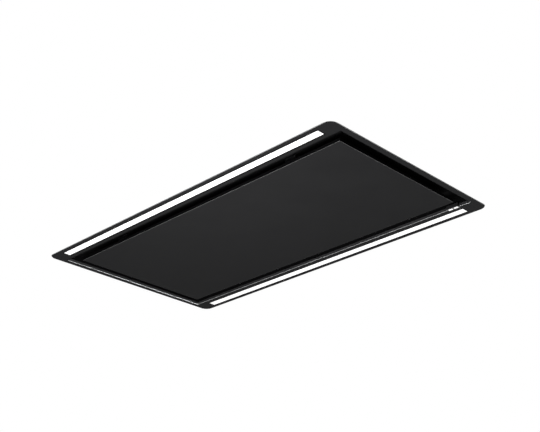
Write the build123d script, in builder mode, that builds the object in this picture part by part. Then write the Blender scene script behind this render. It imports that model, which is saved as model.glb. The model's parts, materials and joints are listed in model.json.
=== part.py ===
"""Recessed ceiling range hood with perimeter suction, modelled piece by piece.

Millimetres. The origin is the centre of the frame's underside, +Z points up into the ceiling and
+X runs along the long side. Everything above z = 0 is hidden by the ceiling once it is fitted.
"""

from build123d import *
from math import asin, cos, degrees, radians, sin
import os

# Sheets and clearances
frame_sheet = 1.5
casing_sheet = 1.2
deck_sheet = 1.0
fit_gap = 0.3
slide_gap = 0.2
pin_gap = 0.1

# Frame that shows below the ceiling
frame_length = 1000
frame_width = 567
frame_corner_radius = 22
frame_edge_radius = 2
rim_height = 4
end_margin = 17
side_margin = 51
opening_length = frame_length - 2 * end_margin
opening_width = frame_width - 2 * side_margin
opening_edge_radius = 0.8
lip_height = 9

# Foam seal between the frame and the ceiling
seal_width = 7
seal_height = 3

# Light strips in the long sides of the frame
strip_width = 22.5
strip_end = 50
strip_inset = 24.85
strip_length = frame_length - 2 * strip_end
strip_offset = frame_width / 2 - strip_inset
diffuser_shoulder = 1.3
diffuser_shoulder_height = 1.5
profile_wall = 1
profile_height = 12.5
board_width = 14
board_thickness = 1.6
chip_pitch = 25
chip_length = 5
chip_width = 3
chip_height = 0.8
end_cap_length = 3

# Centre panel
suction_gap = 28.5
panel_length = opening_length - 2 * suction_gap
panel_width = opening_width - 2 * suction_gap
panel_depth = 8
panel_sheet = 1.2
panel_edge_radius = 0.8
stiffener_end = 74.5
stiffener_side = 104
stiffener_length = panel_length - 2 * stiffener_end
stiffener_width = 44
stiffener_height = 5
stiffener_spread = panel_width - 2 * stiffener_side
panel_stud = 5.6

# Panel hinge, inside the rear edge of the panel
hinge_end = 63.5
hinge_offset = panel_length / 2 - hinge_end
hinge_back = 8
hinge_height = 12
hinge_plate = 2
hinge_side_gap = 0.5
hinge_pin_radius = 2.5
hinge_eye_radius = 5
hinge_head_radius = 4
hinge_head = 1.5
arm_length = 66
arm_stud_near = 20
arm_stud_far = 53
arm_foot_width = 20
bracket_foot_length = 36

# Magnets that hold the panel shut
magnet_end = 154.5
magnet_offset = panel_length / 2 - magnet_end
magnet_front = 18
magnet_radius = 6
magnet_height = 6
magnet_reach = 1.5
magnet_gap = 0.3
holder_length = 34
holder_width = 16
strike_length = 44
strike_width = 24
strike_sheet = 1.5
strike_height = 4.7

# Intake deck that carries the grease filters
deck_height = 26

# Grease filters
filter_length = 330
filter_width = 260
filter_height = 10
filter_gap = 20
filter_spread = filter_length + filter_gap
filter_border = 12
filter_wall = 1
mesh_cells_long = 16
mesh_cells_wide = 11
mesh_web = 3.2
catch_length = 24
catch_height = 3.6
catch_reach = 6
catch_travel = 6.2
catch_body = 24
catch_tab_height = 4
catch_tab_width = 6
ledge_sheet = 1.2
ledge_width = 8

# Plenum box over the frame
plenum_height = 64
foot_width = 9
stud_radius = 2
stud_height = 9
stud_end = 104.5
stud_count = 6
nut_flats = 7
nut_height = 3.2

# Common pan-head screw
screw_radius = 2
screw_length = 8
screw_head_radius = 4
screw_head = 2.4
screw_recess_radius = 1.6
screw_recess = 1.2

# Hanging brackets for the four threaded rods
rod_hole_radius = 4.5
rod_end = 43
rod_spacing_long = opening_length - 2 * rod_end
rod_reach = 17
hanger_width = 42
hanger_sheet = 2.5
hanger_drop = 34
hanger_ear = 27
hanger_screw_pitch = 22

# Blower: volute of three quarter arcs around the impeller
volute_step = 20
volute_base_radius = 146
scroll_sheet = 1.5
scroll_flange = 9
scroll_height = 84
gasket_height = 2
outlet_high = 19
straight_screw = 125

# Impeller
impeller_radius = 120
blade_inner_radius = 98
blade_count = 36
blade_sheet = 1.4
blade_bow = 7
impeller_height = 71
impeller_lift = 4.5
impeller_plate = 1.5
impeller_ring = 3
bowl_radius = 65.5
bowl_wall = 1.5
hub_radius = 11
hub_height = 8
impeller_nut_flats = 13
impeller_nut = 5
inlet_radius = 96
inlet_lip = 4
inlet_flange = 20

# Fan motor
shaft_radius = 4
shaft_end = 1
motor_radius = 55
motor_wall = 2
motor_depth = 50
motor_clearance = 6
motor_mount_height = 3
motor_plate = 2
bearing_radius = 11
bearing_width = 7
bearing_wall = 3
core_height = 26
core_air_gap = 0.5
rotor_radius = 25.5
coil_height = 5
coil_inner_radius = 30
mount_circle = 72
mount_radius = 8
arm_width = 18
shield_screw_circle = 38
bracket_ring = 43
bracket_bore = 22
lead_boss_length = 8
lead_boss_width = 12

# Motor box over the blower
motor_box_front = 330
lead_room = 22.3
side_room = 7.3
head_room = 1.4
box_foot = 11
box_screw_end = 54

# Outlet for flat duct
duct_width = 222
duct_height = 89
duct_wall = 1.5
spigot_length = 80
spigot_plate = 1.5
spigot_ear = 11
spigot_screw_rise = 32
flap_sheet = 1.5
flap_rod_radius = 3
flap_pin_radius = 2
flap_pin_length = 4
flap_boss_radius = 3.4
flap_boss = 4
duct_corner = 1.5
flap_inset = 18
flap_gap = 0.6

# Control box on the plenum roof
control_length = 200
control_width = 170
control_height = 46
control_gap = 45
control_y = -35
control_sheet = 1.2
control_ear = 12
control_post = 10
circuit_length = 120
circuit_width = 100
circuit_shift = (-20, -28)
circuit_thickness = 1.6
circuit_inset = 6
standoff_height = 6
standoff_radius = 3.5
standoff_pin = 1.4
relay_size = (20, 16, 16)
relay_count = 3
relay_pitch = 30
transformer_size = (36, 32, 28)
terminal_block_size = (30, 50, 30)
capacitor_shift = (-20, 61)
capacitor_radius = 15
capacitor_length = 60
driver_size = (150, 42, 28)
driver_gap = 27
driver_tab = 12
gland_radius = 11
gland_bore = 4.5
gland_nut = 9
gland_nose = 10
gland_nose_radius = 9.9
gland_thread_radius = 7.5
lead_radius = 2.2
lead_bend = 9
lead_height = 90
lead_side = -20
grommet_radius = 5
grommet_lip = 1.5

# Push keys beside the opening's rear edge
key_length = 13.5
key_width = 9
key_pitch = 15.5
key_end = 48.25
key_place = opening_length / 2 - key_end
key_body = 2.6
key_travel = 0.8
key_stem_radius = 1.5
key_stem = 3.6
key_edge_radius = 0.6
housing_wall = 1.2
housing_web = 1.6
key_board_thickness = 1.2

os.makedirs("parts", exist_ok=True)


def save(builder, name):
    builder.part.label = name
    export_step(builder.part, f"parts/{name}.step")


def save_group(shape, places, name):
    """Write one shape repeated at many places as a single group of separate solids."""
    with BuildPart() as group:
        with Locations(*places):
            add(shape)
    save(group, name)


def both_ways(x, y):
    return [(x, y), (x, -y), (-x, y), (-x, -y)]


# Levels that several pieces share
deck_under = deck_height - deck_sheet
roof_under = plenum_height - casing_sheet
scroll_floor = plenum_height + gasket_height
scroll_inside = scroll_floor + scroll_sheet
scroll_top = scroll_floor + scroll_height
cover_under = scroll_top - scroll_sheet
shield_under = scroll_top + motor_mount_height - motor_plate
bracket_under = scroll_top + motor_mount_height
bracket_top = bracket_under + motor_plate
box_under = bracket_top + screw_head + head_room
overall_height = box_under + casing_sheet

# Footprints that fit inside one another
deck_length = opening_length + 2 * frame_sheet
deck_width = opening_width + 2 * frame_sheet
plenum_length = deck_length + 2 * fit_gap + 2 * casing_sheet
plenum_width = deck_width + 2 * fit_gap + 2 * casing_sheet
wall_x = plenum_length / 2
wall_y = plenum_width / 2
stud_y = wall_y + foot_width / 2
stud_pitch = (deck_length - 2 * stud_end) / (stud_count - 1)
stud_places = [
    (stud_pitch * (i - (stud_count - 1) / 2), side * stud_y)
    for i in range(stud_count)
    for side in (-1, 1)
]


def make_screw():
    with BuildPart() as screw:
        Cylinder(screw_head_radius, screw_head, align=(Align.CENTER, Align.CENTER, Align.MIN))
        fillet(screw.edges().group_by(Axis.Z)[-1], screw_head / 3)
        with BuildSketch(Plane.XY.offset(screw_head - screw_recess)):
            RegularPolygon(screw_recess_radius, 6)
        extrude(amount=screw_recess, mode=Mode.SUBTRACT)
        with BuildSketch():
            Circle(screw_radius)
        extrude(amount=-screw_length)
    return screw.part


def make_nut(flats, height, bore):
    with BuildPart() as nut:
        with BuildSketch():
            RegularPolygon(flats / 2, 6, major_radius=False)
            Circle(bore, mode=Mode.SUBTRACT)
        extrude(amount=height)
    return nut.part


def facing(point, direction):
    """Seat of a screw's head: its local Z points out of the surface."""
    return Plane(origin=point, z_dir=direction).location


def drill(places):
    with Locations(*places):
        Cylinder(screw_radius + pin_gap, 2 * screw_length, mode=Mode.SUBTRACT)


screw_shape = make_screw()
up = (0, 0, 1)

# Screws from the plenum box into the folded walls of the intake deck
wall_screw_z = (lip_height + deck_under) / 2
wall_screws = [
    facing((x, side * wall_y, wall_screw_z), (0, side, 0))
    for x in (-2 * stud_pitch, -stud_pitch, 0, stud_pitch, 2 * stud_pitch)
    for side in (-1, 1)
] + [
    facing((side * wall_x, y, wall_screw_z), (side, 0, 0))
    for y in (-opening_width / 4, opening_width / 4)
    for side in (-1, 1)
]


# Frame with a rounded outer rim and a folded inner lip
housing_length = key_pitch + key_length + 2 * (slide_gap + housing_wall)
housing_width = key_width + 2 * (slide_gap + housing_wall)
key_line = opening_width / 2

with BuildPart() as frame:
    with BuildSketch():
        RectangleRounded(frame_length, frame_width, frame_corner_radius)
    extrude(amount=rim_height)
    fillet(frame.faces().sort_by(Axis.Z)[0].outer_wire().edges(), frame_edge_radius)
    with BuildSketch(Plane.XY.offset(frame_sheet)):
        RectangleRounded(
            frame_length - 2 * frame_sheet,
            frame_width - 2 * frame_sheet,
            frame_corner_radius - frame_sheet,
        )
    extrude(amount=rim_height, mode=Mode.SUBTRACT)
    with BuildSketch():
        Rectangle(deck_length, deck_width)
    extrude(amount=lip_height)
    with BuildSketch():
        Rectangle(opening_length, opening_width)
    extrude(amount=lip_height, mode=Mode.SUBTRACT)
    fillet(frame.faces().sort_by(Axis.Z)[0].inner_wires()[0].edges(), opening_edge_radius)
    with BuildSketch():
        with Locations((0, strip_offset), (0, -strip_offset)):
            Rectangle(strip_length, strip_width)
    extrude(amount=frame_sheet, mode=Mode.SUBTRACT)
    # Notch for the key housing
    with BuildSketch():
        with Locations((key_place, key_line)):
            Rectangle(housing_length + 2 * slide_gap, housing_width + 2 * slide_gap)
    extrude(amount=lip_height, mode=Mode.SUBTRACT)
    # Weld studs for the plenum box
    with BuildSketch(Plane.XY.offset(frame_sheet)):
        with Locations(*stud_places):
            Circle(stud_radius)
    extrude(amount=stud_height)
save(frame, "flange_frame")

with BuildPart() as seal:
    rim_inner = frame_sheet + fit_gap
    with BuildSketch(Plane.XY.offset(frame_sheet)):
        RectangleRounded(
            frame_length - 2 * rim_inner,
            frame_width - 2 * rim_inner,
            frame_corner_radius - rim_inner,
        )
        RectangleRounded(
            frame_length - 2 * (rim_inner + seal_width),
            frame_width - 2 * (rim_inner + seal_width),
            frame_corner_radius - rim_inner - seal_width,
            mode=Mode.SUBTRACT,
        )
    extrude(amount=seal_height)
save(seal, "ceiling_seal")


# Light strips
shoulder_top = frame_sheet + diffuser_shoulder_height
shoulder_width = strip_width + 2 * diffuser_shoulder
profile_width = shoulder_width + 2 * (slide_gap + profile_wall)
profile_length = strip_length + 2 * diffuser_shoulder + 2 * slide_gap
board_top = frame_sheet + profile_height - profile_wall
chip_count = int((profile_length - chip_pitch) // chip_pitch)
strip_places = [(0, -strip_offset), (0, strip_offset)]

with BuildPart() as diffuser:
    with BuildSketch():
        Rectangle(strip_length - 2 * slide_gap, strip_width - 2 * slide_gap)
    extrude(amount=shoulder_top)
    with BuildSketch(Plane.XY.offset(frame_sheet)):
        Rectangle(strip_length + 2 * diffuser_shoulder, shoulder_width)
    extrude(amount=diffuser_shoulder_height)
save_group(diffuser.part, strip_places, "led_diffusers")

with BuildPart() as profile:
    with BuildSketch(Plane.XY.offset(frame_sheet)):
        Rectangle(profile_length, profile_width)
    extrude(amount=profile_height)
    with BuildSketch(Plane.XY.offset(frame_sheet)):
        Rectangle(profile_length, profile_width - 2 * profile_wall)
    extrude(amount=profile_height - profile_wall, mode=Mode.SUBTRACT)
save_group(profile.part, strip_places, "led_profiles")

with BuildPart() as board:
    with BuildSketch(Plane.XY.offset(board_top - board_thickness)):
        Rectangle(strip_length, board_width)
    extrude(amount=board_thickness)
    with BuildSketch(Plane.XY.offset(board_top - board_thickness)):
        with GridLocations(chip_pitch, 1, chip_count, 1):
            Rectangle(chip_length, chip_width)
    extrude(amount=-chip_height)
save_group(board.part, strip_places, "led_boards")

with BuildPart() as end_cap:
    with BuildSketch(Plane.XY.offset(frame_sheet)):
        Rectangle(end_cap_length, profile_width)
    extrude(amount=profile_height)
cap_x = profile_length / 2 + end_cap_length / 2
save_group(end_cap.part, both_ways(cap_x, strip_offset), "led_end_caps")


# Centre panel: a shallow tray with hat stiffeners and weld studs for the hinge arms
hinge_y = panel_width / 2 - hinge_back
panel_studs = [
    (side * (hinge_offset + hinge_plate + (arm_foot_width - hinge_plate) / 2), hinge_y - back)
    for side in (-1, 1)
    for back in (arm_stud_near, arm_stud_far)
]
with BuildPart() as panel:
    with BuildSketch():
        Rectangle(panel_length, panel_width)
    extrude(amount=panel_depth)
    fillet(panel.faces().sort_by(Axis.Z)[0].edges(), panel_edge_radius)
    with BuildSketch(Plane.XY.offset(panel_sheet)):
        Rectangle(panel_length - 2 * panel_sheet, panel_width - 2 * panel_sheet)
    extrude(amount=panel_depth, mode=Mode.SUBTRACT)
    with BuildSketch(Plane.XY.offset(panel_sheet)):
        with Locations(*panel_studs):
            Circle(stud_radius)
    extrude(amount=panel_stud)
save(panel, "panel_tray")

with BuildPart() as stiffener:
    with BuildSketch(Plane.YZ.offset(-stiffener_length / 2)):
        with Locations((0, panel_sheet)):
            Rectangle(stiffener_width, panel_sheet, align=(Align.CENTER, Align.MIN))
            Rectangle(stiffener_width / 2, stiffener_height, align=(Align.CENTER, Align.MIN))
            Rectangle(
                stiffener_width / 2 - 2 * panel_sheet,
                stiffener_height - panel_sheet,
                align=(Align.CENTER, Align.MIN),
                mode=Mode.SUBTRACT,
            )
    extrude(amount=stiffener_length)
save_group(
    stiffener.part, [(0, stiffener_spread / 2), (0, -stiffener_spread / 2)], "panel_stiffeners"
)


# Panel hinge: arms on the panel, brackets under the deck, one pin each side
arm_side = Plane.YZ.offset(hinge_offset)
bracket_side = Plane.YZ.offset(hinge_offset - hinge_side_gap - hinge_plate)

with BuildPart() as arm:
    with BuildSketch(arm_side):
        with Locations((hinge_y, hinge_height)):
            Circle(hinge_eye_radius)
        with Locations((hinge_y + hinge_eye_radius, panel_sheet)):
            Rectangle(
                2 * hinge_eye_radius,
                hinge_height - panel_sheet,
                align=(Align.MAX, Align.MIN),
            )
        with Locations((hinge_y, panel_sheet)):
            Rectangle(arm_length, hinge_eye_radius, align=(Align.MAX, Align.MIN))
        with Locations((hinge_y, hinge_height)):
            Circle(hinge_pin_radius + pin_gap, mode=Mode.SUBTRACT)
    extrude(amount=hinge_plate)
    with BuildSketch(Plane.XY.offset(panel_sheet)):
        with Locations((hinge_offset, hinge_y - hinge_eye_radius)):
            Rectangle(
                arm_foot_width, arm_length - hinge_eye_radius, align=(Align.MIN, Align.MAX)
            )
    extrude(amount=hinge_plate)
    mirror(about=Plane.YZ)
    with BuildSketch(Plane.XY.offset(panel_sheet)):
        with Locations(*panel_studs):
            Circle(stud_radius + pin_gap)
    extrude(amount=hinge_plate, mode=Mode.SUBTRACT)
save(arm, "hinge_arms")

with BuildPart() as bracket:
    with BuildSketch(bracket_side):
        with Locations((hinge_y, hinge_height)):
            Circle(hinge_eye_radius)
        with Locations((hinge_y - hinge_eye_radius, hinge_height)):
            Rectangle(
                hinge_eye_radius + hinge_pin_radius / 2,
                deck_under - hinge_height,
                align=(Align.MIN, Align.MIN),
            )
        with Locations((hinge_y, hinge_height)):
            Circle(hinge_pin_radius, mode=Mode.SUBTRACT)
    extrude(amount=hinge_plate)
    with BuildSketch(Plane.XY.offset(deck_under - hinge_plate)):
        with Locations((hinge_offset - hinge_side_gap, hinge_y)):
            Rectangle(arm_foot_width, bracket_foot_length, align=(Align.MAX, Align.MAX))
    extrude(amount=hinge_plate)
    mirror(about=Plane.YZ)
save(bracket, "hinge_brackets")

pin_start = hinge_offset - hinge_side_gap - hinge_plate - hinge_head
pin_span = 2 * hinge_plate + 2 * hinge_side_gap + 2 * hinge_head
with BuildPart() as hinge_pin:
    with BuildSketch(Plane.YZ.offset(pin_start)):
        with Locations((hinge_y, hinge_height)):
            Circle(hinge_pin_radius)
    extrude(amount=pin_span)
    for start in (pin_start, pin_start + pin_span - hinge_head):
        with BuildSketch(Plane.YZ.offset(start)):
            with Locations((hinge_y, hinge_height)):
                Circle(hinge_head_radius)
        extrude(amount=hinge_head)
    mirror(about=Plane.YZ)
save(hinge_pin, "hinge_pins")


# Magnets under the deck and strike plates on the panel
magnet_y = -(panel_width / 2 - magnet_front)
strike_top = panel_sheet + strike_height
magnet_under = strike_top + magnet_gap
holder_under = magnet_under + magnet_reach
magnet_places = [(magnet_offset, magnet_y), (-magnet_offset, magnet_y)]

with BuildPart() as holder:
    with BuildSketch(Plane.XY.offset(holder_under)):
        Rectangle(holder_length, holder_width)
    extrude(amount=deck_under - holder_under)
    fillet(holder.edges().filter_by(Axis.Z), holder_width / 8)
    with BuildSketch(Plane.XY.offset(holder_under)):
        Circle(magnet_radius + pin_gap)
    extrude(amount=magnet_height - magnet_reach, mode=Mode.SUBTRACT)
save_group(holder.part, magnet_places, "magnet_holders")

with BuildPart() as magnet:
    with BuildSketch(Plane.XY.offset(magnet_under)):
        Circle(magnet_radius)
    extrude(amount=magnet_height)
save_group(magnet.part, magnet_places, "magnets")

with BuildPart() as strike:
    with BuildSketch(Plane.XY.offset(panel_sheet)):
        Rectangle(strike_length, strike_width)
    extrude(amount=strike_height)
    with BuildSketch(Plane.XY.offset(panel_sheet)):
        Rectangle(strike_length - 2 * strike_sheet, strike_width)
    extrude(amount=strike_height - strike_sheet, mode=Mode.SUBTRACT)
save_group(strike.part, magnet_places, "strike_plates")


# Intake deck: a plate on rails that stand on the frame's lip
filter_under = deck_under - filter_height
filter_front = -filter_width / 2
filter_rear = filter_width / 2
mesh_length = filter_length - 2 * filter_border
mesh_width = filter_width - 2 * filter_border
filter_x = {"left": -filter_spread / 2, "right": filter_spread / 2}
filter_places = [(x, 0) for x in filter_x.values()]
catch_under = filter_under + (filter_height - catch_height) / 2
keeper_top = catch_under - slide_gap
keeper_y = filter_front - catch_reach - fit_gap

with BuildPart() as deck:
    with BuildSketch(Plane.XY.offset(deck_under)):
        Rectangle(deck_length, deck_width)
        with Locations(*filter_places):
            Rectangle(mesh_length, mesh_width, mode=Mode.SUBTRACT)
    extrude(amount=deck_sheet)
save(deck, "intake_deck")

with BuildPart() as rails:
    with BuildSketch(Plane.XY.offset(lip_height)):
        for side in (-1, 1):
            with Locations((0, side * (deck_width - deck_sheet) / 2)):
                Rectangle(deck_length, deck_sheet)
            with Locations((side * (deck_length - deck_sheet) / 2, 0)):
                Rectangle(deck_sheet, deck_width - 2 * (deck_sheet + slide_gap))
    extrude(amount=deck_under - lip_height)
    for x in filter_x.values():
        # Rear ledge, an angle that carries the filter's rear edge
        with BuildSketch(Plane.XY.offset(filter_under - ledge_sheet)):
            with Locations((x, filter_rear + slide_gap)):
                Rectangle(mesh_length, ledge_sheet, align=(Align.CENTER, Align.MIN))
        extrude(amount=filter_height + ledge_sheet)
        with BuildSketch(Plane.XY.offset(filter_under - ledge_sheet)):
            with Locations((x, filter_rear + slide_gap)):
                Rectangle(mesh_length, ledge_width, align=(Align.CENTER, Align.MAX))
        extrude(amount=ledge_sheet)
        # Front keeper, under the tongue of the catch
        with BuildSketch(Plane.XY.offset(keeper_top - ledge_sheet)):
            with Locations((x, keeper_y)):
                Rectangle(2 * catch_length, ledge_sheet, align=(Align.CENTER, Align.MAX))
        extrude(amount=deck_under - keeper_top + ledge_sheet)
        with BuildSketch(Plane.XY.offset(keeper_top - ledge_sheet)):
            with Locations((x, keeper_y)):
                Rectangle(2 * catch_length, catch_reach, align=(Align.CENTER, Align.MIN))
        extrude(amount=ledge_sheet)
    drill(wall_screws)
save(rails, "deck_rails")


# Grease filters: a frame, an expanded-metal pad and a sliding catch each
catch_clear = catch_height + 2 * slide_gap
pocket_depth = catch_body + catch_travel + slide_gap
block_depth = pocket_depth + filter_wall
block_length = catch_length + 4 * filter_wall

with BuildPart() as filter_frame:
    with BuildSketch(Plane.XY.offset(filter_under)):
        RectangleRounded(filter_length, filter_width, filter_wall)
        Rectangle(mesh_length, mesh_width, mode=Mode.SUBTRACT)
        with Locations((0, filter_front)):
            Rectangle(block_length, block_depth, align=(Align.CENTER, Align.MIN))
    extrude(amount=filter_height)
    # Groove that holds the pad
    with BuildSketch(Plane.XY.offset(filter_under + filter_wall)):
        Rectangle(filter_length - 2 * filter_wall, filter_width - 2 * filter_wall)
        with Locations((0, filter_front)):
            Rectangle(
                block_length,
                block_depth,
                align=(Align.CENTER, Align.MIN),
                mode=Mode.SUBTRACT,
            )
    extrude(amount=filter_height - 2 * filter_wall, mode=Mode.SUBTRACT)
    # Pocket of the catch, open to the front, with a window for its finger tab
    with BuildSketch(Plane.XY.offset(catch_under - slide_gap)):
        with Locations((0, filter_front)):
            Rectangle(
                catch_length + 2 * slide_gap, pocket_depth, align=(Align.CENTER, Align.MIN)
            )
    extrude(amount=catch_clear, mode=Mode.SUBTRACT)
    with BuildSketch(Plane.XY.offset(filter_under)):
        with Locations((0, filter_front + catch_body + catch_travel)):
            Rectangle(
                catch_length / 2 + 2 * slide_gap,
                catch_tab_width + catch_travel + slide_gap,
                align=(Align.CENTER, Align.MAX),
            )
    extrude(amount=catch_under - filter_under, mode=Mode.SUBTRACT)
save_group(filter_frame.part, filter_places, "filter_frames")

cell_x = mesh_length / mesh_cells_long
cell_y = mesh_width / mesh_cells_wide
block_rear = filter_front + block_depth + slide_gap
block_half = block_length / 2 + slide_gap
cells = [
    (across * cell_x, along * cell_y)
    for across in [i - (mesh_cells_long - 1) / 2 for i in range(mesh_cells_long)]
    for along in [i - (mesh_cells_wide - 1) / 2 for i in range(mesh_cells_wide)]
    if abs(across) * cell_x > block_half + cell_x / 2 or (along - 0.5) * cell_y > block_rear
]
with BuildSketch() as cell:
    with BuildLine():
        Polyline(
            (-(cell_x - mesh_web) / 2, 0),
            (0, -(cell_y - mesh_web) / 2),
            ((cell_x - mesh_web) / 2, 0),
            (0, (cell_y - mesh_web) / 2),
            close=True,
        )
    make_face()
with BuildPart() as mesh:
    with BuildSketch(Plane.XY.offset(filter_under + filter_wall + slide_gap)):
        Rectangle(
            filter_length - 2 * (filter_wall + slide_gap),
            filter_width - 2 * (filter_wall + slide_gap),
        )
        with Locations((0, filter_front)):
            Rectangle(
                2 * block_half,
                block_rear - filter_front,
                align=(Align.CENTER, Align.MIN),
                mode=Mode.SUBTRACT,
            )
        with Locations(*cells):
            add(cell.sketch, mode=Mode.SUBTRACT)
    extrude(amount=filter_height - 2 * (filter_wall + slide_gap))
save_group(mesh.part, filter_places, "filter_meshes")

for place, x in filter_x.items():
    with BuildPart() as catch:
        with BuildSketch(Plane.XY.offset(catch_under)):
            with Locations((x, filter_front - catch_reach)):
                Rectangle(
                    catch_length, catch_body + catch_reach, align=(Align.CENTER, Align.MIN)
                )
        extrude(amount=catch_height)
        fillet(
            catch.faces().sort_by(Axis.Y)[0].edges().filter_by(Axis.X),
            catch_height / 4,
        )
        with BuildSketch(Plane.XY.offset(catch_under)):
            with Locations((x, filter_front + catch_body)):
                Rectangle(catch_length / 2, catch_tab_width, align=(Align.CENTER, Align.MAX))
        extrude(amount=-(catch_under - filter_under + catch_tab_height))
    save(catch, f"filter_catch_{place}")


# Hanging brackets on the ends of the long walls
hanger_y = wall_y + rod_reach
hanger_top = roof_under
hanger_screws = [
    facing(
        (
            x + dx,
            side * (wall_y + hanger_sheet),
            hanger_top - hanger_drop / 2,
        ),
        (0, side, 0),
    )
    for x in (-rod_spacing_long / 2, rod_spacing_long / 2)
    for dx in (-hanger_screw_pitch / 2, hanger_screw_pitch / 2)
    for side in (-1, 1)
]

with BuildPart() as hangers:
    for x in (-rod_spacing_long / 2, rod_spacing_long / 2):
        for side in (-1, 1):
            with BuildSketch(Plane.XY.offset(hanger_top - hanger_drop)):
                with Locations((x, side * (wall_y + hanger_sheet / 2))):
                    Rectangle(hanger_width, hanger_sheet)
            extrude(amount=hanger_drop)
            with BuildSketch(Plane.XY.offset(hanger_top - hanger_sheet)):
                with Locations((x, side * (wall_y + hanger_ear / 2))):
                    Rectangle(hanger_width, hanger_ear)
                with Locations((x, side * hanger_y)):
                    Circle(rod_hole_radius, mode=Mode.SUBTRACT)
            extrude(amount=hanger_sheet)
    drill(hanger_screws)
save(hangers, "hanging_brackets")


# Blower outline: three quarter arcs whose centres step around a square
centre_a = (-volute_step / 2, volute_step / 2)
centre_b = (-volute_step / 2, -volute_step / 2)
centre_c = (volute_step / 2, -volute_step / 2)
radius_a = volute_base_radius
radius_b = volute_base_radius + volute_step
radius_c = volute_base_radius + 2 * volute_step
outlet_low = centre_c[1] - radius_c
outlet_x = motor_box_front - casing_sheet - fit_gap
scroll_edge = scroll_sheet + scroll_flange
scroll_back = centre_b[0] - radius_b - scroll_edge
motor_box_back = scroll_back - lead_room - casing_sheet
motor_box_width = 2 * (scroll_edge - outlet_low + side_room + casing_sheet)
tongue_angle = degrees(asin((outlet_high - centre_a[1]) / radius_a))
tongue_x = centre_a[0] + radius_a * cos(radians(tongue_angle))


def volute(grow):
    """Outline of the volute's inside, grown outwards by a margin except at its outlet."""
    with BuildSketch() as outline:
        with BuildLine():
            Line((outlet_x, outlet_high), (tongue_x, outlet_high))
            CenterArc(centre_a, radius_a, tongue_angle, 90 - tongue_angle)
            CenterArc(centre_b, radius_b, 90, 90)
            CenterArc(centre_c, radius_c, 180, 90)
            Line((centre_c[0], outlet_low), (outlet_x, outlet_low))
            Line((outlet_x, outlet_low), (outlet_x, outlet_high))
        make_face()
        if grow:
            offset(amount=grow)
            with Locations((outlet_x, 0)):
                Rectangle(
                    4 * grow,
                    4 * radius_c,
                    align=(Align.MIN, Align.CENTER),
                    mode=Mode.SUBTRACT,
                )
    return outline.sketch


def on_arc(centre, radius, angle):
    reach = radius + scroll_sheet + scroll_flange / 2
    return (centre[0] + reach * cos(radians(angle)), centre[1] + reach * sin(radians(angle)))


straight_x = outlet_x - straight_screw
rim_points = [
    on_arc(centre_a, radius_a, 45),
    on_arc(centre_b, radius_b, 110),
    on_arc(centre_b, radius_b, 160),
    on_arc(centre_c, radius_c, 205),
    on_arc(centre_c, radius_c, 255),
    (straight_x, outlet_low - scroll_sheet - scroll_flange / 2),
    (straight_x, outlet_high + scroll_sheet + scroll_flange / 2),
]
cover_screws = [facing((x, y, scroll_top), up) for x, y in rim_points]
base_screws = [facing((x, y, scroll_inside), up) for x, y in rim_points]

throat_radius = inlet_radius + casing_sheet
ring_hole_radius = throat_radius + inlet_lip
ring_radius = ring_hole_radius + inlet_flange
ring_screws = [
    facing(
        (
            (ring_radius - screw_head_radius) * cos(radians(60 * i)),
            (ring_radius - screw_head_radius) * sin(radians(60 * i)),
            roof_under - casing_sheet,
        ),
        (0, 0, -1),
    )
    for i in range(6)
]
scroll_hole_radius = ring_hole_radius + fit_gap

with BuildPart() as gasket:
    with BuildSketch(Plane.XY.offset(plenum_height)):
        add(volute(scroll_edge))
        Circle(scroll_hole_radius, mode=Mode.SUBTRACT)
    extrude(amount=gasket_height)
    drill(base_screws + ring_screws)
save(gasket, "scroll_gasket")

impeller_under = scroll_inside + impeller_lift
ring_top = impeller_under + impeller_ring
with BuildPart() as inlet_ring:
    with BuildSketch(Plane.XZ):
        with BuildLine():
            seat = roof_under - casing_sheet
            outer = (ring_radius, seat)
            Line(outer, (ring_hole_radius, seat))
            throat = RadiusArc(
                (ring_hole_radius, seat),
                (inlet_radius, seat + inlet_lip + casing_sheet),
                -(inlet_lip + casing_sheet),
            )
            Line(throat @ 1, (inlet_radius, ring_top))
            Line((inlet_radius, ring_top), (throat_radius, ring_top))
            Line((throat_radius, ring_top), (throat_radius, seat + inlet_lip + casing_sheet))
            RadiusArc(
                (throat_radius, seat + inlet_lip + casing_sheet),
                (ring_hole_radius, roof_under),
                inlet_lip,
            )
            Line((ring_hole_radius, roof_under), (ring_radius, roof_under))
            Line((ring_radius, roof_under), outer)
        make_face()
    revolve(axis=Axis.Z)
    drill(ring_screws)
save(inlet_ring, "inlet_ring")

with BuildPart() as scroll:
    with BuildSketch(Plane.XY.offset(scroll_floor)):
        add(volute(scroll_edge))
    extrude(amount=scroll_sheet)
    with BuildSketch(Plane.XY.offset(scroll_floor)):
        add(volute(scroll_sheet))
    extrude(amount=cover_under - scroll_floor)
    with BuildSketch(Plane.XY.offset(cover_under - scroll_sheet)):
        add(volute(scroll_edge))
    extrude(amount=scroll_sheet)
    with BuildSketch(Plane.XY.offset(scroll_inside)):
        add(volute(0))
    extrude(amount=scroll_height, mode=Mode.SUBTRACT)
    with BuildSketch(Plane.XY.offset(scroll_floor)):
        Circle(scroll_hole_radius)
    extrude(amount=scroll_sheet, mode=Mode.SUBTRACT)
    drill(base_screws + cover_screws + ring_screws)
save(scroll, "scroll_housing")

mount_points = [
    (mount_circle * cos(radians(30 + 120 * i)), mount_circle * sin(radians(30 + 120 * i)))
    for i in range(3)
]
shield_points = [
    (x / mount_circle * shield_screw_circle, y / mount_circle * shield_screw_circle)
    for x, y in mount_points
]
mount_screws = [facing((x, y, bracket_top), up) for x, y in mount_points]
shield_screws = [facing((x, y, bracket_top), up) for x, y in shield_points]

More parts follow.
